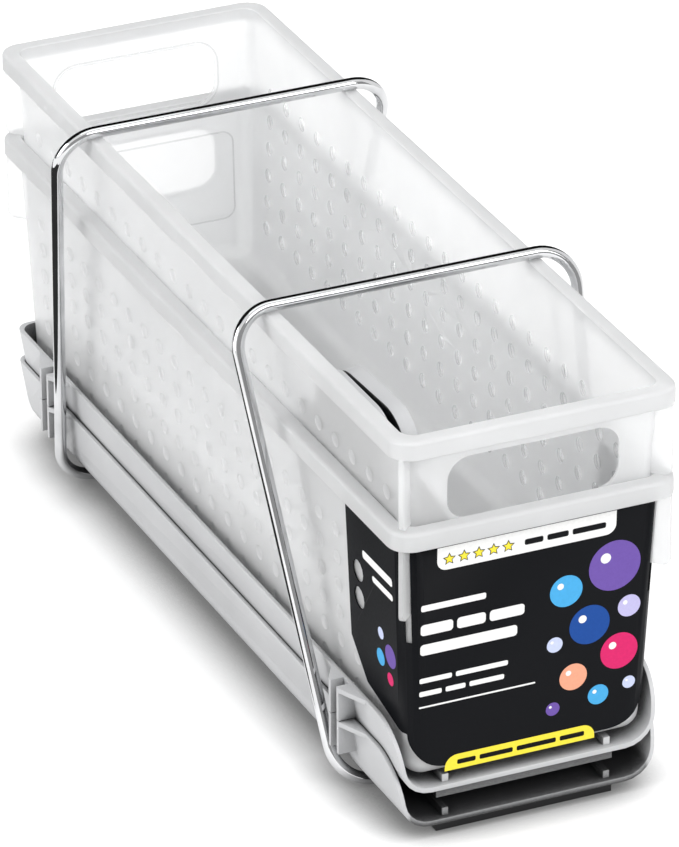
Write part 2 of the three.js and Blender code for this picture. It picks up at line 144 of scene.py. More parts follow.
class Shader:
    """The nodes of a material, or of the world, under construction."""

    noise_low = 0.3
    noise_high = 0.7

    def __init__(self, name: str, world: bool = False) -> None:
        """Starts an empty node tree.

        Args:
            name: The name of the material or the world.
            world: Whether it is the world.
        """
        self.kind = "World" if world else "Material"
        self.owner = (bpy.data.worlds if world else bpy.data.materials).new(name)
        self.owner.use_nodes = True
        self.tree = self.owner.node_tree
        self.tree.nodes.clear()

    def node(self, kind: str, settings: dict, inputs: dict, output: int | str = 0) -> Value:
        """Adds a node.

        Args:
            kind: The node's type.
            settings: Its properties; a ramp's stops go under "stops".
            inputs: Values or links by socket name or index.
            output: The output to hand back.

        Returns:
            The chosen output.
        """
        made = self.tree.nodes.new(kind)
        for key, value in settings.items():
            if key == "stops":
                ramp = made.color_ramp
                for index, (place, colour) in enumerate(value):
                    stop = ramp.elements[index] if index < 2 else ramp.elements.new(place)
                    stop.position = place
                    stop.color = (*colour, 1.0)
            else:
                setattr(made, key, value)
        for key, value in inputs.items():
            socket = made.inputs[key]
            if isinstance(value, Value):
                self.tree.links.new(value.socket, socket)
            else:
                socket.default_value = value
        return Value(self, made.outputs[output])

    def place(self) -> Value:
        """Object coordinates of the shaded point."""
        return self.node("ShaderNodeTexCoord", {}, {}, "Object")

    def noise(self, scale: float, detail: float = 3.0) -> Value:
        """Fractal noise over the object.

        Args:
            scale: Waves to the metre.
            detail: Octaves.

        Returns:
            A value about one half.
        """
        return self.node("ShaderNodeTexNoise", {}, {
            "Vector": self.place(), "Scale": scale, "Detail": detail})

    def bumps(self, height: Value, strength: float, depth: float) -> Value:
        """A normal with fine relief.

        Args:
            height: The relief.
            strength: How much of it shows.
            depth: How deep it is in metres.

        Returns:
            The normal.
        """
        return self.node("ShaderNodeBump", {}, {
            "Strength": strength, "Distance": depth, "Height": height})

    def openness(self, reach: float, samples: int) -> Value:
        """How open a place is, by ambient occlusion.

        Args:
            reach: How far off a thing still shades it, in metres.
            samples: Rays to a point.

        Returns:
            The share, 0 where the point is closed in all round.
        """
        return self.node("ShaderNodeAmbientOcclusion", {"samples": samples},
                         {"Distance": reach}, "AO")

    def plain_rays(self) -> Value:
        """Picks out rays to the camera, to gloss and through plastic.

        Returns:
            1 for these and 0 for all others.
        """
        seen, mirrored, passed = (
            self.node("ShaderNodeLightPath", {}, {}, f"Is {kind} Ray")
            for kind in ("Camera", "Glossy", "Transmission"))
        return seen + mirrored + passed

    def step(self, value: Value, low: float, high: float) -> Value:
        """A ramp from 0 to 1.

        Args:
            value: What is measured.
            low: Where the ramp is 0.
            high: Where it is 1, which may be the lower of the two.

        Returns:
            The share, held between 0 and 1.
        """
        return self.node("ShaderNodeMapRange", {}, {
            "Value": value, "From Min": low, "From Max": high})

    def ramp(self, share: Value, *stops: tuple[float, Sequence[float]]) -> Value:
        """A colour ramp.

        Args:
            share: Where on the ramp.
            stops: Each place on it with its colour.

        Returns:
            The colour.
        """
        return self.node("ShaderNodeValToRGB", {"stops": stops}, {"Fac": share})

    def between(self, low: Colour, high: Colour, noise: Value) -> Value:
        """A colour that noise moves between two."""
        return self.ramp(noise, (self.noise_low, low), (self.noise_high, high))

    def finish(self, inputs: dict) -> bpy.types.Material:
        """Closes the material with a Principled shader, given its sockets."""
        return self.close(self.node("ShaderNodeBsdfPrincipled", {}, inputs))

    def close(self, surface: Value) -> bpy.types.Material | bpy.types.World:
        """Links a shader to the output.

        Args:
            surface: The shader.

        Returns:
            The material or the world.
        """
        out = self.tree.nodes.new(f"ShaderNodeOutput{self.kind}")
        self.tree.links.new(surface.socket, out.inputs["Surface"])
        return self.owner


# Finishes


@dataclass(frozen=True)
class Frosted:
    """Milky translucent moulded plastic."""

    name: str = "frosted_plastic"
    thin: Colour = (0.95, 0.955, 0.96)
    thick: Colour = (0.975, 0.98, 0.985)
    clouds: float = 22.0
    cover: float = 0.68
    cover_spread: float = 0.1
    clear: float = 0.52
    refraction: float = 1.3
    roughness: float = 0.36
    roughness_spread: float = 0.12
    grain: float = 0.05
    grain_depth: float = 0.0002
    grain_scale: float = 1600.0
    grain_detail: float = 2.0

    def material(self) -> bpy.types.Material:
        """Builds the material: cloudy colour, uneven cover and a fine frost in the surface.

        Returns:
            The material.
        """
        shader = Shader(self.name)
        cloud = shader.noise(self.clouds)
        frost = shader.noise(self.grain_scale, self.grain_detail)
        return shader.finish({
            "Base Color": shader.between(self.thin, self.thick, cloud),
            "Roughness": cloud.around(self.roughness, self.roughness_spread),
            "Alpha": cloud.around(self.cover, self.cover_spread),
            "Normal": shader.bumps(frost, self.grain, self.grain_depth),
            "Transmission Weight": self.clear,
            "IOR": self.refraction,
        })


@dataclass(frozen=True)
class GreyPlastic:
    """Light grey moulded plastic with a fine spark-eroded grain, and painted shade in its slots
    and on its foot.

    The masks are in metres on Object coordinates.  A pair is where a mask is 0 and where it
    is 1.
    """

    name: str = "grey_plastic"
    low: Colour = (0.51, 0.515, 0.525)
    high: Colour = (0.60, 0.605, 0.615)
    # colour of the painted shade in the slots, the recesses and on the foot
    painted_shade_colour: Colour = (0.016, 0.016, 0.017)
    flows: float = 14.0
    reach: float = 0.03
    samples: int = 6
    open_range: Point2 = (0.22, 0.54)
    slot: Point3 = (0.048, -0.186, 0.019)
    slot_edge: float = 0.002
    slot_back: Point2 = (-0.14, -0.16)
    slot_shade: float = 0.4
    foot_back: Point2 = (-0.15, -0.16)
    foot_top: Point2 = (0.0036, 0.003)
    foot_shade: float = 0.36
    roughness: float = 0.42
    roughness_spread: float = 0.14
    grain: float = 0.12
    grain_depth: float = 0.0001
    grain_scale: float = 2600.0
    grain_detail: float = 2.0

    def shade(self, shader: Shader) -> Value:
        """How much more painted shade falls on the front of the slots and on the foot.

        Args:
            shader: The material being built.

        Returns:
            What is taken from the openness.
        """
        x, y, z = (shader.node("ShaderNodeSeparateXYZ", {}, {0: shader.place()}, axis)
                   for axis in range(3))
        # Painted shade masks: the front of the slot between the trays, and the cross foot.
        half, front, top = self.slot
        edge = self.slot_edge
        inside = (shader.step(abs(x), half + edge, half) * shader.step(y, *self.slot_back)
                  * shader.step(y, front, front + edge) * shader.step(z, top, top - edge))
        foot = shader.step(y, *self.foot_back) * shader.step(z, *self.foot_top)
        return inside * self.slot_shade + foot * self.foot_shade

    def material(self) -> bpy.types.Material:
        """Builds the material: slight flow marks, satin grain, and painted shade, from ambient
        occlusion and masks, in the slots and recesses.

        Returns:
            The material.
        """
        shader = Shader(self.name)
        flow = shader.noise(self.flows)
        grain = shader.noise(self.grain_scale, self.grain_detail)
        # Painted shade: ambient occlusion, less the slot and foot masks, darkens the colour
        # towards the painted shade colour.
        lit = shader.openness(self.reach, self.samples) - self.shade(shader)
        colour = shader.node("ShaderNodeMix", {"data_type": "RGBA"}, {
            0: shader.step(lit, *self.open_range),
            6: (*self.painted_shade_colour, 1.0), 7: shader.between(self.low, self.high, flow),
        }, 2)
        return shader.finish({
            "Base Color": colour,
            "Roughness": grain.around(self.roughness, self.roughness_spread),
            "Normal": shader.bumps(grain, self.grain, self.grain_depth),
        })


@dataclass(frozen=True)
class Chrome:
    """Bright plated steel wire with faint drawing marks."""

    name: str = "chrome_wire"
    dull: Colour = (0.60, 0.605, 0.615)
    bright: Colour = (0.76, 0.765, 0.775)
    roughness: float = 0.06
    roughness_spread: float = 0.08
    wear_scale: float = 55.0

    def material(self) -> bpy.types.Material:
        """Builds the material: bright metal, roughness varied by handling.

        Returns:
            The material.
        """
        shader = Shader(self.name)
        wear = shader.noise(self.wear_scale)
        return shader.finish({
            "Base Color": shader.between(self.dull, self.bright, wear),
            "Metallic": 1.0,
            "Roughness": wear.around(self.roughness, self.roughness_spread),
        })


@dataclass(frozen=True)
class Ink:
    """One printed colour on silk coated card."""

    name: str
    colour: Colour
    thin_share: float = 0.93
    roughness: float = 0.42
    roughness_spread: float = 0.12
    shine: float = 0.05
    grain: float = 0.06
    grain_depth: float = 0.00005
    grain_scale: float = 900.0

    def material(self) -> bpy.types.Material:
        """Builds the material: ink lies a little unevenly and the card's tooth shows.

        Returns:
            The material.
        """
        shader = Shader(self.name)
        tooth = shader.noise(self.grain_scale)
        thin = tuple(part * self.thin_share for part in self.colour)
        return shader.finish({
            "Base Color": shader.between(thin, self.colour, tooth),
            "Roughness": tooth.around(self.roughness, self.roughness_spread),
            "Specular IOR Level": self.shine,
            "Normal": shader.bumps(tooth, self.grain, self.grain_depth),
        })


class Tone(Enum):
    """The colours of the print."""

    BLACK = (0.0075, 0.0080, 0.0095)
    WHITE = (0.90, 0.90, 0.89)
    YELLOW = (0.95, 0.80, 0.07)
    VIOLET = (0.17, 0.10, 0.40)
    SKY = (0.08, 0.42, 0.78)
    NAVY = (0.02, 0.08, 0.33)
    PINK = (0.72, 0.03, 0.16)
    LILAC = (0.55, 0.52, 0.80)
    PEACH = (0.88, 0.40, 0.26)
    PALE = (0.60, 0.66, 0.88)


# Mesh helpers


def object_of(name: str, mesh: bpy.types.Mesh) -> bpy.types.Object:
    """Links an object at the origin.

    Args:
        name: The piece's name.
        mesh: Its mesh, with its place in its points.

    Returns:
        The object.
    """
    made = bpy.data.objects.new(name, mesh)
    bpy.context.scene.collection.objects.link(made)
    return made


def mesh_from(name: str, points: Sequence[Point3], faces: Sequence[Sequence[int]]
              ) -> bpy.types.Mesh:
    """Makes a closed mesh with outward faces.

    Args:
        name: The mesh's name.
        points: Corner points in metres.
        faces: Corner numbers of each face.

    Returns:
        The mesh.
    """
    mesh = bpy.data.meshes.new(name)
    mesh.from_pydata([tuple(p) for p in points], [], [tuple(f) for f in faces])
    work = bmesh.new()
    work.from_mesh(mesh)
    bmesh.ops.recalc_face_normals(work, faces=work.faces)
    work.to_mesh(mesh)
    work.free()
    return mesh


def solid(name: str, points: Sequence[Point3], faces: Sequence[Sequence[int]],
          material: bpy.types.Material) -> bpy.types.Object:
    """A closed piece in one finish, at the origin.

    Args:
        name: The piece's name.
        points: Corner points in metres.
        faces: Corner numbers of each face.
        material: Its finish.

    Returns:
        The piece.
    """
    item = object_of(name, mesh_from(name, points, faces))
    item.data.materials.append(material)
    return item


def prism(name: str, outline: Sequence[Point2], place: Place, ends: Point2,
          material: bpy.types.Material) -> bpy.types.Object:
    """A prism of an outline.

    Args:
        name: Its name.
        outline: Points in the shape's own plane, in millimetres.
        place: Maps the outline and the height along the prism to the object.
        ends: Where along it the prism starts and ends.
        material: Its finish.

    Returns:
        The prism.
    """
    count = len(outline)
    points = [tuple(c * MM for c in place(u, v, w)) for w in ends for u, v in outline]
    faces: list[Sequence[int]] = [tuple(range(count)), tuple(range(count, 2 * count))]
    faces += [(i, (i + 1) % count, (i + 1) % count + count, i + count) for i in range(count)]
    return solid(name, points, faces, material)


def solid_copy(node: str, material: bpy.types.Material, flat: float = 0.0) -> bpy.types.Object:
    """A piece in the shape of its CAD solid, with its doubled points merged.

    Args:
        node: The CAD node.
        material: Its finish.
        flat: Faces that meet at less than this, in degrees, become one.

    Returns:
        The piece.
    """
    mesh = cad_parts[node].data.copy()
    work = bmesh.new()
    work.from_mesh(mesh)
    bmesh.ops.remove_doubles(work, verts=work.verts, dist=MERGE)
    if flat:
        bmesh.ops.dissolve_limit(work, angle_limit=math.radians(flat), verts=work.verts,
                                 edges=work.edges)
    work.to_mesh(mesh)
    work.free()
    mesh.materials.clear()
    mesh.materials.append(material)
    return object_of(f"{node}_body", mesh)


def bake(item: bpy.types.Object) -> None:
    """Turns live modifiers into plain mesh.

    Args:
        item: The object with modifiers.
    """
    graph = bpy.context.evaluated_depsgraph_get()
    graph.update()
    mesh = bpy.data.meshes.new_from_object(item.evaluated_get(graph))
    item.modifiers.clear()
    item.data = mesh


def smooth(item: bpy.types.Object, angle: float = 32.0) -> None:
    """Shades a piece smooth.

    Args:
        item: The piece.
        angle: Edges over this, in degrees, are left sharp.
    """
    for face in item.data.polygons:
        face.use_smooth = True
    item.data.set_sharp_from_angle(angle=math.radians(angle))


def loft(levels: Sequence[tuple[list[Point2], float]]
         ) -> tuple[list[Point3], list[Sequence[int]]]:
    """A closed body through plan outlines.

    Args:
        levels: Outlines in millimetres, each with its height.

    Returns:
        Points in metres and faces.
    """
    count = len(levels[0][0])
    points = [(x * MM, y * MM, z * MM) for outline, z in levels for x, y in outline]
    faces: list[Sequence[int]] = []
    for row in range(len(levels) - 1):
        for i in range(count):
            a, b = row * count + i, row * count + (i + 1) % count
            faces.append((a, b, b + count, a + count))
    faces.append(tuple(reversed(range(count))))
    last = (len(levels) - 1) * count
    faces.append(tuple(range(last, last + count)))
    return points, faces


def rounded(half_x: float, half_y: float, radius: float) -> list[Point2]:
    """A rectangle with round corners, anticlockwise.

    Args:
        half_x: Half its width.
        half_y: Half its length.
        radius: Corner radius.

    Returns:
        The outline's points.
    """
    points = []
    for side_x, side_y, quarter in ((1, 1, 0), (-1, 1, 1), (-1, -1, 2), (1, -1, 3)):
        for i in range(CORNER_STEPS + 1):
            angle = (quarter + i / CORNER_STEPS) * math.pi / 2
            points.append((side_x * (half_x - radius) + radius * math.cos(angle),
                           side_y * (half_y - radius) + radius * math.sin(angle)))
    return points


def boolean(item: bpy.types.Object, tool: bpy.types.Object, how: Join) -> None:
    """Cuts or joins two closed meshes and removes the tool.

    Args:
        item: The piece that stays.
        tool: The body that is used up.
        how: Whether it is cut away or added.
    """
    modifier = item.modifiers.new("cut", "BOOLEAN")
    modifier.operation = how.value
    modifier.solver = "MANIFOLD"
    modifier.object = tool
    bake(item)
    bpy.data.objects.remove(tool)


# Geometry node trees


class Tree:
    """A geometry node group under construction."""

    def __init__(self, name: str, inputs: dict[str, str]) -> None:
        """Starts a tree.

        Args:
            name: The tree's name.
            inputs: Socket type by input name, after the geometry.
        """
        self.group = bpy.data.node_groups.new(name, "GeometryNodeTree")
        face = self.group.interface
        face.new_socket(name="Geometry", in_out="INPUT", socket_type="NodeSocketGeometry")
        self.sockets = {
            key: face.new_socket(name=key, in_out="INPUT", socket_type=kind).identifier
            for key, kind in inputs.items()
        }
        face.new_socket(name="Geometry", in_out="OUTPUT", socket_type="NodeSocketGeometry")
        self.entry = self.group.nodes.new("NodeGroupInput")

    def node(self, kind: str, settings: dict, inputs: dict) -> bpy.types.Node:
        """Adds a node.

        Args:
            kind: The node's type.
            settings: Its properties.
            inputs: Values or output sockets by socket name or index.

        Returns:
            The node.
        """
        made = self.group.nodes.new(kind)
        for key, value in settings.items():
            setattr(made, key, value)
        for key, value in inputs.items():
            if isinstance(value, bpy.types.NodeSocket):
                self.group.links.new(value, made.inputs[key])
            else:
                made.inputs[key].default_value = value
        return made

    def given(self, name: str) -> bpy.types.NodeSocket:
        """The tree's own input of that name."""
        return self.entry.outputs[name]

    def close(self, geometry: bpy.types.NodeSocket) -> None:
        """Ends the tree in Realize Instances and Set Material.

        Args:
            geometry: What the tree has made.
        """
        real = self.node("GeometryNodeRealizeInstances", {}, {"Geometry": geometry})
        dressed = self.node("GeometryNodeSetMaterial", {}, {
            "Geometry": real.outputs[0], "Material": self.given("Material"),
        })
        out = self.group.nodes.new("NodeGroupOutput")
        self.group.links.new(dressed.outputs[0], out.inputs[0])

    def apply(self, item: bpy.types.Object, values: dict) -> None:
        """Runs the tree on an object and leaves plain mesh.

        Args:
            item: The object whose mesh goes in.
            values: The inputs by name.
        """
        modifier = item.modifiers.new(self.group.name, "NODES")
        modifier.node_group = self.group
        for name, value in values.items():
            modifier[self.sockets[name]] = value
        bake(item)


def sweep_tree() -> Tree:
    """A round bar along the edges of a mesh."""
    tree = Tree("round_bar", {"Radius": "NodeSocketFloat", "Sides": "NodeSocketInt",
                              "Material": "NodeSocketMaterial"})
    path = tree.node("GeometryNodeMeshToCurve", {}, {"Mesh": tree.given("Geometry")})
    ring = tree.node("GeometryNodeCurvePrimitiveCircle", {}, {
        "Resolution": tree.given("Sides"), "Radius": tree.given("Radius"),
    })
    bar = tree.node("GeometryNodeCurveToMesh", {}, {
        "Curve": path.outputs[0], "Profile Curve": ring.outputs[0], "Fill Caps": True,
    })
    tree.close(bar.outputs[0])
    return tree


def dimple_tree() -> Tree:
    """Flattened balls on a grid, which press the round marks into a wall."""
    tree = Tree("wall_marks", {
        "Columns": "NodeSocketInt", "Rows": "NodeSocketInt", "Length": "NodeSocketFloat",
        "Height": "NodeSocketFloat", "Diameter": "NodeSocketFloat",
        "Depth": "NodeSocketFloat", "Material": "NodeSocketMaterial",
    })
    grid = tree.node("GeometryNodeMeshGrid", {}, {
        "Size X": tree.given("Length"), "Size Y": tree.given("Height"),
        "Vertices X": tree.given("Columns"), "Vertices Y": tree.given("Rows"),
    })
    ball = tree.node("GeometryNodeMeshUVSphere", {}, {"Segments": 16, "Rings": 8, "Radius": 0.5})
    scale = tree.node("ShaderNodeCombineXYZ", {}, {
        "X": tree.given("Diameter"), "Y": tree.given("Diameter"), "Z": tree.given("Depth"),
    })
    spread = tree.node("GeometryNodeInstanceOnPoints", {}, {
        "Points": grid.outputs["Mesh"], "Instance": ball.outputs["Mesh"],
        "Scale": scale.outputs[0],
    })
    tree.close(spread.outputs[0])
    return tree


def star_tree() -> Tree:
    """A row of one shape at an even pitch."""
    tree = Tree("star_row", {"Count": "NodeSocketInt", "Pitch": "NodeSocketVector",
                             "Material": "NodeSocketMaterial"})
    row = tree.node("GeometryNodeMeshLine", {}, {
        "Count": tree.given("Count"), "Offset": tree.given("Pitch"),
    })
    spread = tree.node("GeometryNodeInstanceOnPoints", {}, {
        "Points": row.outputs[0], "Instance": tree.given("Geometry"),
    })
    tree.close(spread.outputs[0])
    return tree


@dataclass
class Kit:
    """Finishes and trees that the sub-assemblies share."""

    frosted: bpy.types.Material = field(default_factory=lambda: Frosted().material())
    # The rim's finish: more cover, and a darker colour than the walls, which is painted shade on
    # its brightly lit top.
    rim: bpy.types.Material = field(default_factory=lambda: Frosted(
        name="frosted_rim_painted_shade", thin=(0.80, 0.805, 0.81), thick=(0.84, 0.845, 0.85),
        cover=0.9, clear=0.4, roughness=0.3).material())
    marks: bpy.types.Material = field(default_factory=lambda: Frosted(
        name="frosted_marks", cover=0.6, clear=0.7, roughness=0.08, grain=0.0).material())
    grey: bpy.types.Material = field(default_factory=lambda: GreyPlastic().material())
    chrome: bpy.types.Material = field(default_factory=lambda: Chrome().material())
    bar: Tree = field(default_factory=sweep_tree)
    dimples: Tree = field(default_factory=dimple_tree)
    stars: Tree = field(default_factory=star_tree)


def swept(kit: Kit, name: str, points: Sequence[Point3], radius: float, sides: int,
          material: bpy.types.Material, closed: bool) -> bpy.types.Object:
    """A round bar along a line of points.

    Args:
        kit: Shared trees.
        name: The piece's name.
        points: The line in millimetres.
        radius: The bar's radius in millimetres.
        sides: Sides of its section.
        material: Its finish.
        closed: Whether the line runs back to its start.

    Returns:
        The piece.
    """
    count = len(points)
    mesh = bpy.data.meshes.new(name)
    links = [(i, (i + 1) % count) for i in range(count if closed else count - 1)]
    mesh.from_pydata([tuple(c * MM for c in p) for p in points], links, [])
    item = object_of(name, mesh)
    kit.bar.apply(item, {"Radius": radius * MM, "Sides": sides, "Material": material})
    smooth(item, 60.0)
    return item


def settle(item: bpy.types.Object, body: Body, slot: str, *nodes: str) -> None:
    """Hands a finished piece to the frame.

    Args:
        item: The piece.
        body: The body it moves with.
        slot: The record's material slot; not used.
        nodes: CAD nodes that it stands for.
    """
    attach(item, body.value)
    if nodes:
        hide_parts(*nodes)
    log.info("%s: %d faces, rides on %s", item.name, len(item.data.polygons), body.value)


# Bins


@dataclass
class Bin:
    """One frosted bin: drafted shell, turned-over rim, hand holes, corner fins, wall marks."""

    kit: Kit
    rim_width: float = 114.5
    rim_length: float = 384.0
    rim_corner: float = 9.0
    rim_round: float = 1.6
    rim_margin: float = 0.2
    overhang: float = 5.0
    skirt: float = 7.4
    skirt_edge: float = 0.25
    mouth_edge: float = 0.4
    depth: float = 107.8
    wall: float = 1.2
    floor: float = 1.4
    corner: float = 7.0
    foot_round: float = 7.0
    window: Point2 = (69.0, 25.8)
    window_drop: float = 12.5
    window_corner: float = 9.0
    overrun: float = 4.0
    fin_thickness: float = 1.8
    fin_drop: float = 36.7
    fin_nose: float = 3.0
    fin_gap: float = 0.3
    mark_diameter: float = 6.0
    mark_depth: float = 0.45
    mark_pitch: Point2 = (15.1, 11.7)
    mark_count: tuple[int, int] = (23, 6)
    mark_top: float = 30.0
    mark_middle: float = -3.0
    panel: Point2 = (83.0, 38.0)
    panel_drop: float = 71.0
    panel_corner: float = 5.0
    lip: float = 1.4
    ridge_radius: float = 0.35
    ridge_sides: int = 8
    steps: int = 6

    def body(self, depth: float, inset: float, radius: float) -> list[Point2]:
        """The body's outline at a depth under the rim's top."""
        draw = depth * DRAFT + inset
        return rounded(self.rim_width / 2 - self.overhang - draw,
                       self.rim_length / 2 - self.overhang - draw, radius)

    def rim(self, inset: float) -> list[Point2]:
        """The rim's outline, drawn in."""
        return rounded(self.rim_width / 2 - inset, self.rim_length / 2 - inset,
                       self.rim_corner - inset)

    def shell(self) -> bpy.types.Object:
        """The shell, walked from the underside over the rim to the floor inside.

        Returns:
            The closed shell.
        """
        turns = [i / self.steps * math.pi / 2 for i in range(self.steps + 1)]
        levels: list[tuple[list[Point2], float]] = []
        for angle in turns:
            inset = self.foot_round * (1 - math.sin(angle))
            depth = self.depth - self.foot_round * (1 - math.cos(angle))
            radius = self.corner - inset * (self.corner - self.wall) / self.foot_round
            levels.append((self.body(depth, inset, radius), self.depth - depth))
        under, over = self.depth - self.skirt, self.depth - self.wall
        levels += [(self.body(self.wall, 0, self.corner), over), (self.rim(self.wall), over),
                   (self.rim(self.wall), under), (self.rim(self.skirt_edge), under),
                   (self.rim(0), under + self.skirt_edge)]
        levels += [(self.rim(self.rim_round * (1 - math.cos(angle))),
                    self.depth - self.rim_round * (1 - math.sin(angle))) for angle in turns]
        inner, sweep, edge = self.corner - self.wall, self.foot_round - self.wall, self.mouth_edge
        levels += [(self.body(0, self.wall - edge, inner + edge), self.depth),
                   (self.body(edge, self.wall, inner), self.depth - edge)]
        for angle in reversed(turns):
            inset = sweep * (1 - math.sin(angle))
            depth = self.depth - self.floor - sweep * (1 - math.cos(angle))
            radius = inner - inset * (inner - self.wall) / sweep
            levels.append((self.body(depth, self.wall + inset, radius), self.depth - depth))
        return solid("bin_shell", *loft(levels), self.kit.frosted)

    def window_outline(self, grow: float = 0.0) -> list[Point2]:
        """A hand hole, grown by a margin, in X and Z over the bin's foot."""
        middle = self.depth - self.window_drop - self.window[1] / 2
        return [(x, z + middle) for x, z in rounded(
            self.window[0] / 2 + grow, self.window[1] / 2 + grow, self.window_corner + grow)]

    def fin(self, side_x: int, side_y: int) -> bpy.types.Object:
        """The fin across one corner.

        Args:
            side_x: 1 on the right and -1 on the left.
            side_y: 1 at the rear and -1 at the front.

        Returns:
            The fin.
        """
        body_x, body_y = (length / 2 - self.overhang - self.corner * (1 - math.sqrt(0.5))
                          for length in (self.rim_width, self.rim_length))
        reach = (self.overhang * math.sqrt(2)
                 - (math.sqrt(2) - 1) * (self.rim_corner - self.corner) - self.fin_gap)
        lean = self.fin_drop * DRAFT * math.sqrt(2)
        low, top, nose = self.depth - self.fin_drop, self.depth - self.wall / 2, self.fin_nose
        outline = [(-self.wall / 2 - lean, low)]
        for i in range(self.steps + 1):
            angle = -math.pi / 2 + i / self.steps * math.pi / 2
            outline.append((reach - nose + nose * math.cos(angle),
                            low + nose + nose * math.sin(angle)))
        outline += [(reach, top), (-self.wall / 2, top)]
        turn = math.atan2(side_y, side_x)
        along = Vector((math.cos(turn), math.sin(turn)))

        def place(u: float, v: float, w: float) -> Point3:
            """Turns the fin's plane across the corner."""
            return (side_x * body_x + along.x * u - along.y * w,
                    side_y * body_y + along.y * u + along.x * w, v)

        return prism("tool", outline, place, (-self.fin_thickness / 2, self.fin_thickness / 2),
                     self.kit.frosted)

    def dents(self, side: int, inside: bool) -> bpy.types.Object:
        """The tool that presses the marks of one wall.

        Args:
            side: 1 for the right wall and -1 for the left.
            inside: Whether it presses on the wall's inside.

        Returns:
            The tool.
        """
        columns, rows = self.mark_count
        height = (rows - 1) * self.mark_pitch[1]
        item = object_of("marks", bpy.data.meshes.new("marks"))
        self.kit.dimples.apply(item, {
            "Columns": columns, "Rows": rows,
            "Length": (columns - 1) * self.mark_pitch[0] * MM, "Height": height * MM,
            "Diameter": self.mark_diameter * MM, "Depth": 2 * self.mark_depth * MM,
            "Material": self.kit.marks,
        })
        centre = self.mark_top + height / 2
        half = self.rim_width / 2 - self.overhang - centre * DRAFT
        half -= self.wall if inside else 0.0
        normal = Vector((side, 0, -DRAFT)).normalized()
        along = Vector((0, 1, 0))
        up = normal.cross(along)
        turn = Matrix((along, up, normal)).transposed().to_4x4()
        item.data.transform(Matrix.Translation(Vector((
            side * half, self.mark_middle, self.depth - centre)) * MM) @ turn)
        return item

    def form(self) -> bpy.types.Object:
        """The whole bin, standing on its own foot at the origin.

        Returns:
            The bin, its rim in the rim's own finish, whose darker colour is painted shade.
        """
        item = self.shell()
        for side_x in (-1, 1):
            for side_y in (-1, 1):
                boolean(item, self.fin(side_x, side_y), Join.ADD)
        reach = self.rim_length / 2 + self.overrun
        boolean(item, prism("tool", self.window_outline(), lambda u, v, w: (u, w, v),
                            (-reach, reach), self.kit.frosted), Join.CUT)
        # The rim takes the darker finish, painted shade on its lit top.
        item.data.materials.append(self.kit.rim)
        for face in item.data.polygons:
            if face.center.z > (self.depth - self.skirt - self.rim_margin) * MM:
                face.material_index = 1
        for side in (-1, 1):
            for inside in (False, True):
                boolean(item, self.dents(side, inside), Join.CUT)
        smooth(item)
        return item

    def ridge(self, name: str, outline: Sequence[Point2], end: int, lift: float) -> None:
        """A fine raised line on the inside of an end wall.

        Args:
            name: The piece's name.
            outline: The line, in X and Z over the bin's foot.
            end: 1 at the rear and -1 at the front.
            lift: Height of the bin's foot.
        """
        points = []
        for x, z in outline:
            depth = self.depth - z
            y = self.rim_length / 2 - self.overhang - depth * DRAFT - self.wall
            points.append((x, end * y, z + lift))
        line = swept(self.kit, name, points, self.ridge_radius, self.ridge_sides,
                     self.kit.marks, True)
        settle(line, Body.BINS, "frosted_plastic")

    def build(self, heights: dict[str, float]) -> None:
        """Makes both bins and what is moulded on them.

        Args:
            heights: Height of the foot by CAD node.
        """
        form = self.form()
        middle = self.depth - self.panel_drop
        panel = [(x, z + middle) for x, z in rounded(
            self.panel[0] / 2, self.panel[1] / 2, self.panel_corner)]
        lip = self.window_outline(self.lip)
        for node, height in heights.items():
            item = object_of(f"{node}_body", form.data.copy())
            item.data.transform(Matrix.Translation((0, 0, height * MM)))
            settle(item, Body.BINS, "frosted_plastic", node)
            for end, word in ((1, "rear"), (-1, "front")):
                self.ridge(f"{node}_{word}_panel", panel, end, height)
                self.ridge(f"{node}_{word}_lip", lip, end, height)
        bpy.data.objects.remove(form)


# Pieces that keep the solid's shape


@dataclass
class Moulding:
    """A grey moulding that follows its CAD solid, with its edges eased."""

    kit: Kit
    node: str
    body: Body
    ease: float = 0.45
    ease_steps: int = 2
    ease_angle: float = 40.0
    flat: float = 0.6
    smooth_angle: float = 35.0

    def build(self) -> None:
        """Copies the solid, joins its flat faces and rounds its edges."""
        item = solid_copy(self.node, self.kit.grey, self.flat)
        bevel = item.modifiers.new("ease", "BEVEL")
        bevel.width = self.ease * MM
        bevel.segments = self.ease_steps
        bevel.limit_method = "ANGLE"
        bevel.angle_limit = math.radians(self.ease_angle)
        bake(item)
        smooth(item, self.smooth_angle)
        settle(item, self.body, "grey_plastic", self.node)


# Wire loops


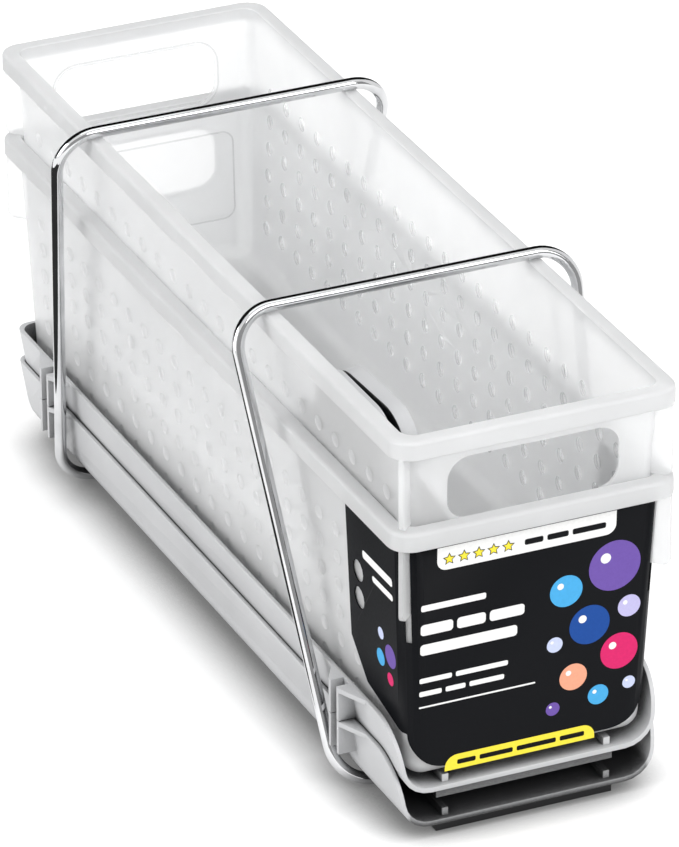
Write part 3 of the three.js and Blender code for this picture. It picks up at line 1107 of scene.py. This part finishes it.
@dataclass
class Loop:
    """One bent wire loop, welded in the middle of its lower bar."""

    kit: Kit
    node: str
    body: Body
    foot_y: float
    top_y: float
    diameter: float = 4.8
    top_width: float = 141.2
    bottom_width: float = 113.0
    top_corner: float = 15.0
    bottom_corner: float = 17.0
    top_z: float = 172.2
    weld_gap: float = 0.8
    weld_length: float = 5.0
    weld_diameter: float = 4.3
    sides: int = 32
    steps: int = 14

    def line(self) -> list[Point3]:
        """The centre line from one side of the weld round to the other.

        Returns:
            Its points in millimetres.
        """
        foot = Vector((0, self.foot_y, self.diameter / 2))
        rise = Vector((0, self.top_y, self.top_z)) - foot
        height, up = rise.length, rise.normalized()
        corners = [(self.bottom_width / 2, 0.0, self.bottom_corner),
                   (self.top_width / 2, height, self.top_corner),
                   (-self.top_width / 2, height, self.top_corner),
                   (-self.bottom_width / 2, 0.0, self.bottom_corner)]
        flat = [Vector((self.weld_gap / 2, 0.0))]
        for i, (x, h, radius) in enumerate(corners):
            middle = Vector((x, h))
            back = (Vector(corners[i - 1][:2]) - middle).normalized()
            ahead = (Vector(corners[(i + 1) % 4][:2]) - middle).normalized()
            half = back.angle(ahead) / 2
            centre = middle + (back + ahead).normalized() * (radius / math.sin(half))
            start = middle + back * (radius / math.tan(half)) - centre
            turn = math.pi - 2 * half
            for step in range(self.steps + 1):
                spoke = start.copy()
                spoke.rotate(Matrix.Rotation(turn * step / self.steps, 2))
                flat.append(centre + spoke)
        flat.append(Vector((-self.weld_gap / 2, 0.0)))
        return [tuple(foot + Vector((p.x, 0, 0)) + up * p.y) for p in flat]

    def bar(self, word: str, points: Sequence[Point3], diameter: float) -> bpy.types.Object:
        """A chrome bar along a line, with the word at the end of its name."""
        return swept(self.kit, f"{self.node}_{word}", points, diameter / 2, self.sides,
                     self.kit.chrome, False)

    def build(self) -> None:
        """Makes the loop and the neck of its weld."""
        wire = self.bar("wire", self.line(), self.diameter)
        settle(wire, self.body, "chrome_wire", self.node, f"{self.node}_bar")
        end, level = self.weld_length / 2, self.diameter / 2
        neck = self.bar("weld", [(-end, self.foot_y, level), (end, self.foot_y, level)],
                        self.weld_diameter)
        settle(neck, self.body, "chrome_wire")


# Card sleeve


@dataclass
class Card:
    """The printed card round the front of the outer bin, with a generic print.

    Places on the print are in millimetres: across the panel or along the flap, and then up
    from the height of the inner bin's rim.
    """

    kit: Kit
    bin_top: float = 132.5
    half_length: float = 187.0
    half_width: float = 52.25
    skin: float = 0.8
    smooth_angle: float = 30.0
    proud: float = 0.01
    ink: float = 0.05
    leaf_share: float = 0.8
    bar_gap: float = 1.6
    bar_end_share: float = 0.3
    flap_bar_end: float = 1.2
    glint_place_share: float = 0.36
    glint_size_share: float = 0.2
    star_start: Point2 = (-34.2, -52.5)
    star_pitch: float = 5.9
    star_count: int = 5
    star_radius: float = 2.0
    star_edge_radius: float = 2.7
    inks: dict[Tone, bpy.types.Material] = field(default_factory=dict)

    def out(self, half: float, height: float, lift: float) -> float:
        """How far the card's face is from the middle at a height."""
        return half - (self.bin_top - height) * DRAFT + self.skin + lift

    def front(self, x: float, z: float, lift: float) -> Point3:
        """A point on the front panel."""
        return (x, -self.out(self.half_length, z + RIM_TOP, lift), z + RIM_TOP)

    def side(self, y: float, z: float, lift: float) -> Point3:
        """A point on the left flap."""
        return (-self.out(self.half_width, z + RIM_TOP, lift), y, z + RIM_TOP)

    def leaf(self, name: str, outline: Sequence[Point2], tone: Tone, place: Place,
             layer: int) -> bpy.types.Object:
        """A printed shape, a closed leaf just proud of the card.

        Args:
            name: The piece's name after "print".
            outline: Its outline.
            tone: Its ink.
            place: Maps the outline to the card.
            layer: How many inks lie under it.

        Returns:
            The piece.
        """
        low = self.proud + layer * self.ink
        return prism(f"print_{name}", outline, place, (low, low + self.ink * self.leaf_share),
                     self.inks[tone])

    def put(self, name: str, outline: Sequence[Point2], tone: Tone, place: Place,
            layer: int = 0) -> None:
        """Prints a shape, given as for a leaf."""
        settle(self.leaf(name, outline, tone, place, layer), Body.BINS, "black_card")

    @staticmethod
    def tab(low: Point2, high: Point2, radii: tuple[float, float]) -> list[Point2]:
        """A bar with its lower and its upper corners rounded.

        Args:
            low: Its lower left corner.
            high: Its upper right corner.
            radii: The lower and the upper radius.

        Returns:
            The outline.
        """
        points: list[Point2] = []
        spots = ((low[0], low[1], 1, 1, 2, radii[0]), (high[0], low[1], -1, 1, 3, radii[0]),
                 (high[0], high[1], -1, -1, 0, radii[1]), (low[0], high[1], 1, -1, 1, radii[1]))
        for x, z, in_x, in_z, quarter, radius in spots:
            if radius <= 0:
                points.append((x, z))
                continue
            for i in range(TAB_STEPS + 1):
                angle = (quarter + i / TAB_STEPS) * math.pi / 2
                points.append((x + in_x * radius + radius * math.cos(angle),
                               z + in_z * radius + radius * math.sin(angle)))
        return points

    @staticmethod
    def star(radius: float) -> list[Point2]:
        """A five pointed star about its middle."""
        return [(radius * share * math.sin(math.pi * i / 5),
                 radius * share * math.cos(math.pi * i / 5))
                for i, share in enumerate([1.0, STAR_NOTCH_SHARE] * 5)]

    @staticmethod
    def disc(x: float, z: float, radius: float) -> list[Point2]:
        """A round spot about a middle."""
        turns = [2 * math.pi * i / DISC_SIDES for i in range(DISC_SIDES)]
        return [(x + radius * math.cos(turn), z + radius * math.sin(turn)) for turn in turns]

    def tabs(self) -> None:
        """The upper and lower tab and the rule."""
        for name, low, high, radii, tone in (
                ("tab_top", (-39.0, -56.8), (33.0, -47.2), (4.0, 0.0), Tone.WHITE),
                ("tab_foot", (-34.0, -143.0), (27.0, -136.6), (0.0, 5.0), Tone.YELLOW),
                ("rule", (-45.0, -113.6), (2.0, -112.9), (0.3, 0.3), Tone.WHITE)):
            self.put(name, self.tab(low, high, radii), tone, self.front)

    def bars(self) -> None:
        """Rows of plain bars, each row with its foot, height, start and widths."""
        for row, low, tall, tone, layer, left, widths in (
                ("tab", -53.6, 2.4, Tone.BLACK, 1, -4.0, (7.5, 8.6, 13.5)),
                ("foot", -141.0, 2.0, Tone.BLACK, 1, -29.0, (7.5, 13.5, 16.0, 10.0)),
                ("small", -72.6, 2.6, Tone.WHITE, 0, -45.0, (26.0,)),
                ("title", -82.8, 4.6, Tone.WHITE, 0, -45.0, (13.0, 11.5, 14.0)),
                ("title_low", -91.2, 4.6, Tone.WHITE, 0, -45.0, (39.0,)),
                ("line", -103.0, 2.1, Tone.WHITE, 0, -45.0, (13.0, 21.0)),
                ("line_low", -108.6, 2.1, Tone.WHITE, 0, -45.0, (9.0, 8.0, 14.0))):
            radii = (tall * self.bar_end_share,) * 2
            for index, wide in enumerate(widths):
                self.put(f"{row}_{index}", self.tab((left, low), (left + wide, low + tall), radii),
                         tone, self.front, layer)
                left += wide + self.bar_gap

    def spots(self) -> None:
        """Round spots on the panel, each with a glint."""
        for index, (tone, x, z, radius) in enumerate((
                (Tone.VIOLET, 33.0, -70.5, 10.5), (Tone.SKY, 13.5, -77.0, 6.6),
                (Tone.NAVY, 23.5, -93.5, 8.2), (Tone.LILAC, 39.5, -89.0, 4.6),
                (Tone.PINK, 36.0, -107.5, 7.6), (Tone.PALE, 9.5, -99.0, 3.2),
                (Tone.PEACH, 17.5, -114.5, 5.6), (Tone.SKY, 28.0, -124.5, 4.2),
                (Tone.VIOLET, 9.5, -126.5, 2.8), (Tone.PALE, 40.5, -122.0, 2.6))):
            off = radius * self.glint_place_share
            self.put(f"bubble_{index}", self.disc(x, z, radius), tone, self.front)
            self.put(f"glint_{index}", self.disc(x - off, z + off, radius * self.glint_size_share),
                     Tone.WHITE, self.front, 1)

    def flap(self) -> None:
        """Bars and spots on the left flap."""
        radii = (self.flap_bar_end, self.flap_bar_end)
        for index, (low, high) in enumerate((((-176.0, -66.0), (-150.0, -62.6)),
                                             ((-176.0, -72.0), (-158.0, -69.4)))):
            self.put(f"flap_bar_{index}", self.tab(low, high, radii), Tone.WHITE, self.side)
        for index, (tone, y, z, radius) in enumerate((
                (Tone.VIOLET, -171.5, -97.0, 4.6), (Tone.PALE, -163.5, -91.0, 2.4),
                (Tone.SKY, -162.5, -101.5, 3.4), (Tone.PINK, -170.5, -107.0, 2.6))):
            self.put(f"flap_bubble_{index}", self.disc(y, z, radius), tone, self.side)

    def star_row(self) -> None:
        """Five stars on the upper tab, each with a dark edge."""
        start_x, start_z = self.star_start
        for name, radius, tone, layer in (("star_edges", self.star_edge_radius, Tone.BLACK, 1),
                                          ("stars", self.star_radius, Tone.YELLOW, 2)):
            outline = [(x + start_x, z + start_z) for x, z in self.star(radius)]
            item = self.leaf(name, outline, tone, self.front, layer)
            self.kit.stars.apply(item, {
                "Count": self.star_count, "Pitch": (self.star_pitch * MM, 0, 0),
                "Material": self.inks[tone],
            })
            settle(item, Body.BINS, "black_card")

    def build(self) -> None:
        """Makes the card and its print: tabs, rule, bars, spots and stars."""
        self.inks = {tone: Ink(f"ink_{tone.name.lower()}", tone.value).material()
                     for tone in Tone}
        item = solid_copy("card_sleeve", self.inks[Tone.BLACK])
        smooth(item, self.smooth_angle)
        settle(item, Body.BINS, "black_card", "card_sleeve")
        self.tabs()
        self.bars()
        self.spots()
        self.flap()
        self.star_row()


# Studio


@dataclass
class Studio:
    """The floor, the light and the camera.

    The camera and its shift are in millimetres, and everything else here is in metres.
    """

    azimuth: float = -24.1
    elevation: float = 27.02
    roll: float = -0.26
    distance: float = 2866.0
    shift: Point2 = (6.1, -81.6)
    focal_px: float = 7539.0
    long_side_px: float = 847.0
    sensor: float = 36.0
    clip: Point2 = (0.1, 60.0)
    floor_half: float = 6.0
    floor_colour: Colour = (0.76, 0.76, 0.76)
    floor_shadow: Colour = (0.2, 0.2, 0.2)
    floor_bounce: Colour = (0.66, 0.66, 0.66)
    floor_glow: float = 0.32
    glow_colour: Colour = (1.0, 1.0, 1.0)
    glow_shadow: Colour = (0.3, 0.3, 0.3)
    contact: float = 0.024
    contact_samples: int = 8
    contact_range: Point2 = (0.3, 0.85)
    room: tuple[Point2, ...] = ((0.0, 0.3), (0.12, 0.6), (0.3, 0.95), (0.6, 1.0))
    room_glow: float = 0.94
    aim: Point3 = (0.0, 0.0, 0.08)
    lamps: tuple[tuple[str, Point3, float, float], ...] = (
        ("key", (0.0, 0.2, 2.4), 1.6, 5.0),
        ("side", (-2.4, 0.2, 1.0), 1.6, 28.0),
        ("front", (0.6, -2.1, 1.4), 1.4, 30.0))
    boards: tuple[tuple[str, Point2, Point2, Point2, float], ...] = (
        ("board_back", (-2.5, 2.5), (1.6, 0.02), (0.3, 2.9), 0.008),
        ("board_front", (-3.0, 3.0), (-2.2, 0.02), (-2.2, 2.6), 0.36),
        ("board_left", (-0.42, -0.11), (-0.1, 0.001), (1.2, 0.001), 0.04))

    def camera(self) -> None:
        """The camera where the photograph was taken from."""
        az, el, roll = (math.radians(a) for a in (self.azimuth, self.elevation, self.roll))
        back = Vector((math.sin(az) * math.cos(el), -math.cos(az) * math.cos(el), math.sin(el)))
        right = (-back).cross(Vector((0, 0, 1))).normalized()
        up = right.cross(-back)
        across = right * math.cos(roll) + up * math.sin(roll)
        above = up * math.cos(roll) - right * math.sin(roll)
        place = (back * self.distance + across * self.shift[0] + above * self.shift[1]
                 + Vector((0, 0, RIM_TOP))) * MM
        data = bpy.data.cameras.new("camera")
        data.sensor_width = self.sensor
        data.lens = self.focal_px * data.sensor_width / self.long_side_px
        data.clip_start, data.clip_end = self.clip
        item = bpy.data.objects.new("camera", data)
        item.matrix_world = Matrix.Translation(place) @ Matrix(
            (across, above, back)).transposed().to_4x4()
        bpy.context.scene.collection.objects.link(item)
        bpy.context.scene.camera = item

    def floor(self) -> None:
        """A pale floor, white to the eye and to metal, that keeps the object's shadow and has a
        painted contact shadow near the object.
        """
        shader = Shader("floor")
        near = shader.openness(self.contact, self.contact_samples)
        low, high = self.contact_range
        plain = shader.node("ShaderNodeBsdfDiffuse", {}, {"Color": (*self.floor_bounce, 1.0)})
        # Painted contact shadow: ambient occlusion near the object darkens the floor's colour and
        # its glow.
        base = shader.node("ShaderNodeBsdfDiffuse", {}, {"Color": shader.ramp(
            near, (low, self.floor_shadow), (high, self.floor_colour))})
        glow = shader.node("ShaderNodeEmission", {}, {
            "Color": shader.ramp(near, (low, self.glow_shadow), (high, self.glow_colour)),
            "Strength": self.floor_glow})
        white = shader.node("ShaderNodeAddShader", {}, {0: base, 1: glow})
        material = shader.close(shader.node("ShaderNodeMixShader", {}, {
            0: shader.plain_rays(), 1: plain, 2: white}))
        half = self.floor_half
        corners = [(-half, -half, 0), (half, -half, 0), (half, half, 0), (-half, half, 0)]
        item = solid("floor", corners, [(0, 1, 2, 3)], material)

    def board(self, name: str, width: Point2, low: Point2, high: Point2, level: float) -> None:
        """A dark studio board that only shows in metal and gloss.

        Args:
            name: The board's name.
            width: Its two ends along X.
            low: Y and Z of its first long edge.
            high: Y and Z of its second long edge.
            level: How bright it looks.
        """
        shader = Shader(name)
        material = shader.close(shader.node("ShaderNodeEmission", {}, {
            "Color": (1.0, 1.0, 1.0, 1.0), "Strength": level}))
        left, right = width
        item = solid(name, [(left, *low), (right, *low), (right, *high), (left, *high)],
                     [(0, 1, 2, 3)], material)
        item.visible_camera = item.visible_diffuse = item.visible_shadow = False
        item.visible_transmission = item.visible_volume_scatter = False

    def lamp(self, name: str, place: Point3, size: float, power: float) -> None:
        """A square area lamp aimed at the object.

        Args:
            name: The lamp's name.
            place: Where it stands.
            size: The side of its square.
            power: Its power in watts.
        """
        data = bpy.data.lights.new(name, "AREA")
        data.shape, data.size, data.energy = "SQUARE", size, power
        item = bpy.data.objects.new(name, data)
        item.location = place
        item.rotation_euler = (Vector(self.aim) - Vector(place)).to_track_quat(
            "-Z", "Y").to_euler()
        bpy.context.scene.collection.objects.link(item)

    def world(self) -> None:
        """A soft room, brighter above: white to the camera, to metal and through plastic."""
        shader = Shader("room", world=True)
        way = shader.node("ShaderNodeTexCoord", {}, {}, "Generated")
        height = shader.node("ShaderNodeSeparateXYZ", {}, {0: way}, "Z")
        soft = shader.node("ShaderNodeBackground", {}, {
            "Color": shader.ramp(height, *((place, (level,) * 3) for place, level in self.room)),
            "Strength": self.room_glow})
        white = shader.node("ShaderNodeBackground", {}, {"Color": (1.0, 1.0, 1.0, 1.0)})
        bpy.context.scene.world = shader.close(shader.node("ShaderNodeMixShader", {}, {
            0: shader.plain_rays(), 1: soft, 2: white}))

    def build(self) -> None:
        """Sets up everything round the object."""
        self.camera()
        self.floor()
        self.world()
        for lamp in self.lamps:
            self.lamp(*lamp)
        for board in self.boards:
            self.board(*board)
        bpy.context.scene.view_settings.view_transform = "Standard"


def main() -> None:
    """Builds the studio and every piece in order."""
    logging.basicConfig(level=logging.INFO, format="%(message)s")
    Studio().build()
    kit = Kit()
    Bin(kit).build({"outer_bin": 24.7, "inner_bin": 61.7})
    Moulding(kit, "lower_tray", Body.TRAYS).build()
    Moulding(kit, "upper_tray", Body.TRAYS).build()
    Moulding(kit, "divider_outer", Body.OUTER_DIVIDER, ease=0.3).build()
    Moulding(kit, "divider_inner", Body.INNER_DIVIDER, ease=0.3).build()
    Loop(kit, "front_loop", Body.FRONT_WIRE, foot_y=-138.0, top_y=-73.0).build()
    Loop(kit, "rear_loop", Body.REAR_WIRE, foot_y=134.0, top_y=95.0).build()
    Card(kit).build()


if __name__ == "__main__":
    main()
